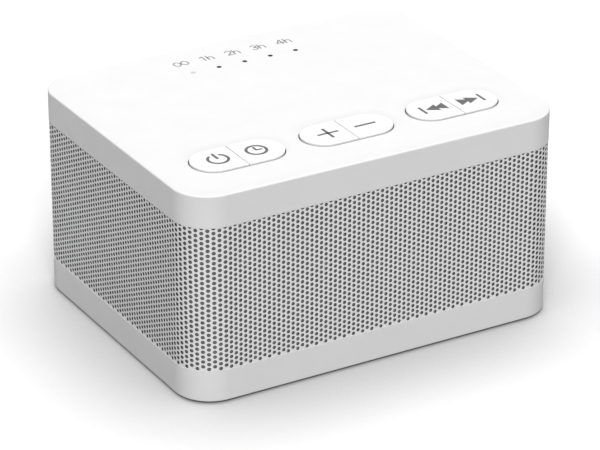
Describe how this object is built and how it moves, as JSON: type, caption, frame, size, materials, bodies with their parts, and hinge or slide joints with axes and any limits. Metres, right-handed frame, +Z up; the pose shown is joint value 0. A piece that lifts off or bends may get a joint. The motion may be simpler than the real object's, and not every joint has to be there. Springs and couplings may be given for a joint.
{
  "type": "white noise sound machine",
  "caption": "Tabletop white noise machine: rounded block with an all-round perforated grille, paired pill keys and timer indicators on top.",
  "frame": {"origin": "centre of the base on the surface it stands on", "axes": "+Z up, +X along the width to the viewer's right, the keys nearest the front face towards -Y"},
  "size_m": [0.104, 0.0826, 0.0554],
  "materials": {
    "white_plastic": "fine satin moulded surface",
    "key_plastic": "satin moulded surface with printed signs",
    "base_rubber": "matt rubber",
    "grille_metal": "silver-white coated perforated sheet",
    "dust_cloth": "thin black acoustic cloth",
    "black_plastic": "matt moulded plastic",
    "lamp_lit": "clear light guide with the lamp on",
    "lamp_dark": "smoked light guide with the lamp off",
    "led_cream": "small surface-mount lamp",
    "board_green": "circuit board with solder mask",
    "inlet_steel": "bright stamped shell",
    "ribbon_grey": "flat cable",
    "gasket_foam": "closed-cell foam",
    "surround_rubber": "butyl rubber",
    "cone_paper": "coated paper",
    "coil_copper": "enamelled copper winding",
    "spider_cloth": "resin-dipped cloth",
    "plated_steel": "zinc plated",
    "magnet_ferrite": "sintered ferrite",
    "lead_jacket": "flexible insulation"
  },
  "bodies": {
    "housing": {"bottom_tray": "white_plastic", "top_cover": "white_plastic", "base_pad": "base_rubber", "grille_sleeve": "grille_metal", "dust_cloth": "dust_cloth", "inner_frame": "black_plastic", "driver_basket": "black_plastic", "switch_power": "black_plastic", "switch_timer": "black_plastic", "switch_volume_up": "black_plastic", "switch_volume_down": "black_plastic", "switch_previous": "black_plastic", "switch_next": "black_plastic", "lens_endless": "lamp_lit", "led_endless": "lamp_lit", "lens_1h": "lamp_dark", "lens_2h": "lamp_dark", "lens_3h": "lamp_dark", "lens_4h": "lamp_dark", "led_1h": "led_cream", "led_2h": "led_cream", "led_3h": "led_cream", "led_4h": "led_cream", "control_board": "board_green", "power_board": "board_green", "power_inlet": "inlet_steel", "power_ribbon": "ribbon_grey", "driver_gasket": "gasket_foam", "driver_surround": "surround_rubber", "driver_spider": "spider_cloth", "driver_front_plate": "plated_steel", "driver_yoke": "plated_steel", "driver_screw_1": "plated_steel", "driver_screw_2": "plated_steel", "driver_screw_3": "plated_steel", "driver_screw_4": "plated_steel", "housing_screw_1": "plated_steel", "housing_screw_2": "plated_steel", "housing_screw_3": "plated_steel", "housing_screw_4": "plated_steel", "driver_magnet": "magnet_ferrite", "driver_lead_left": "lead_jacket", "driver_lead_right": "lead_jacket"},
    "key_power_body": {"key_power": "key_plastic", "plunger_power": "black_plastic"},
    "key_timer_body": {"key_timer": "key_plastic", "plunger_timer": "black_plastic"},
    "key_volume_up_body": {"key_volume_up": "key_plastic", "plunger_volume_up": "black_plastic"},
    "key_volume_down_body": {"key_volume_down": "key_plastic", "plunger_volume_down": "black_plastic"},
    "key_previous_body": {"key_previous": "key_plastic", "plunger_previous": "black_plastic"},
    "key_next_body": {"key_next": "key_plastic", "plunger_next": "black_plastic"},
    "speaker_cone": {"driver_cone": "cone_paper", "driver_dust_cap": "cone_paper", "driver_coil": "coil_copper"}
  },
  "joints": [
    {"name": "press_power", "type": "slide", "parent": "housing", "child": "key_power_body", "axis": [0, 0, -1], "range_m": [0, 0.0004], "stiffness_N_per_m": 1500},
    {"name": "press_timer", "type": "slide", "parent": "housing", "child": "key_timer_body", "axis": [0, 0, -1], "range_m": [0, 0.0004], "stiffness_N_per_m": 1500},
    {"name": "press_volume_up", "type": "slide", "parent": "housing", "child": "key_volume_up_body", "axis": [0, 0, -1], "range_m": [0, 0.0004], "stiffness_N_per_m": 1500},
    {"name": "press_volume_down", "type": "slide", "parent": "housing", "child": "key_volume_down_body", "axis": [0, 0, -1], "range_m": [0, 0.0004], "stiffness_N_per_m": 1500},
    {"name": "press_previous", "type": "slide", "parent": "housing", "child": "key_previous_body", "axis": [0, 0, -1], "range_m": [0, 0.0004], "stiffness_N_per_m": 1500},
    {"name": "press_next", "type": "slide", "parent": "housing", "child": "key_next_body", "axis": [0, 0, -1], "range_m": [0, 0.0004], "stiffness_N_per_m": 1500},
    {"name": "cone_travel", "type": "slide", "parent": "housing", "child": "speaker_cone", "axis": [0, 0, 1], "range_m": [-0.0008, 0.0008], "stiffness_N_per_m": 1500, "deforming": ["driver_surround", "driver_spider"]}
  ]
}
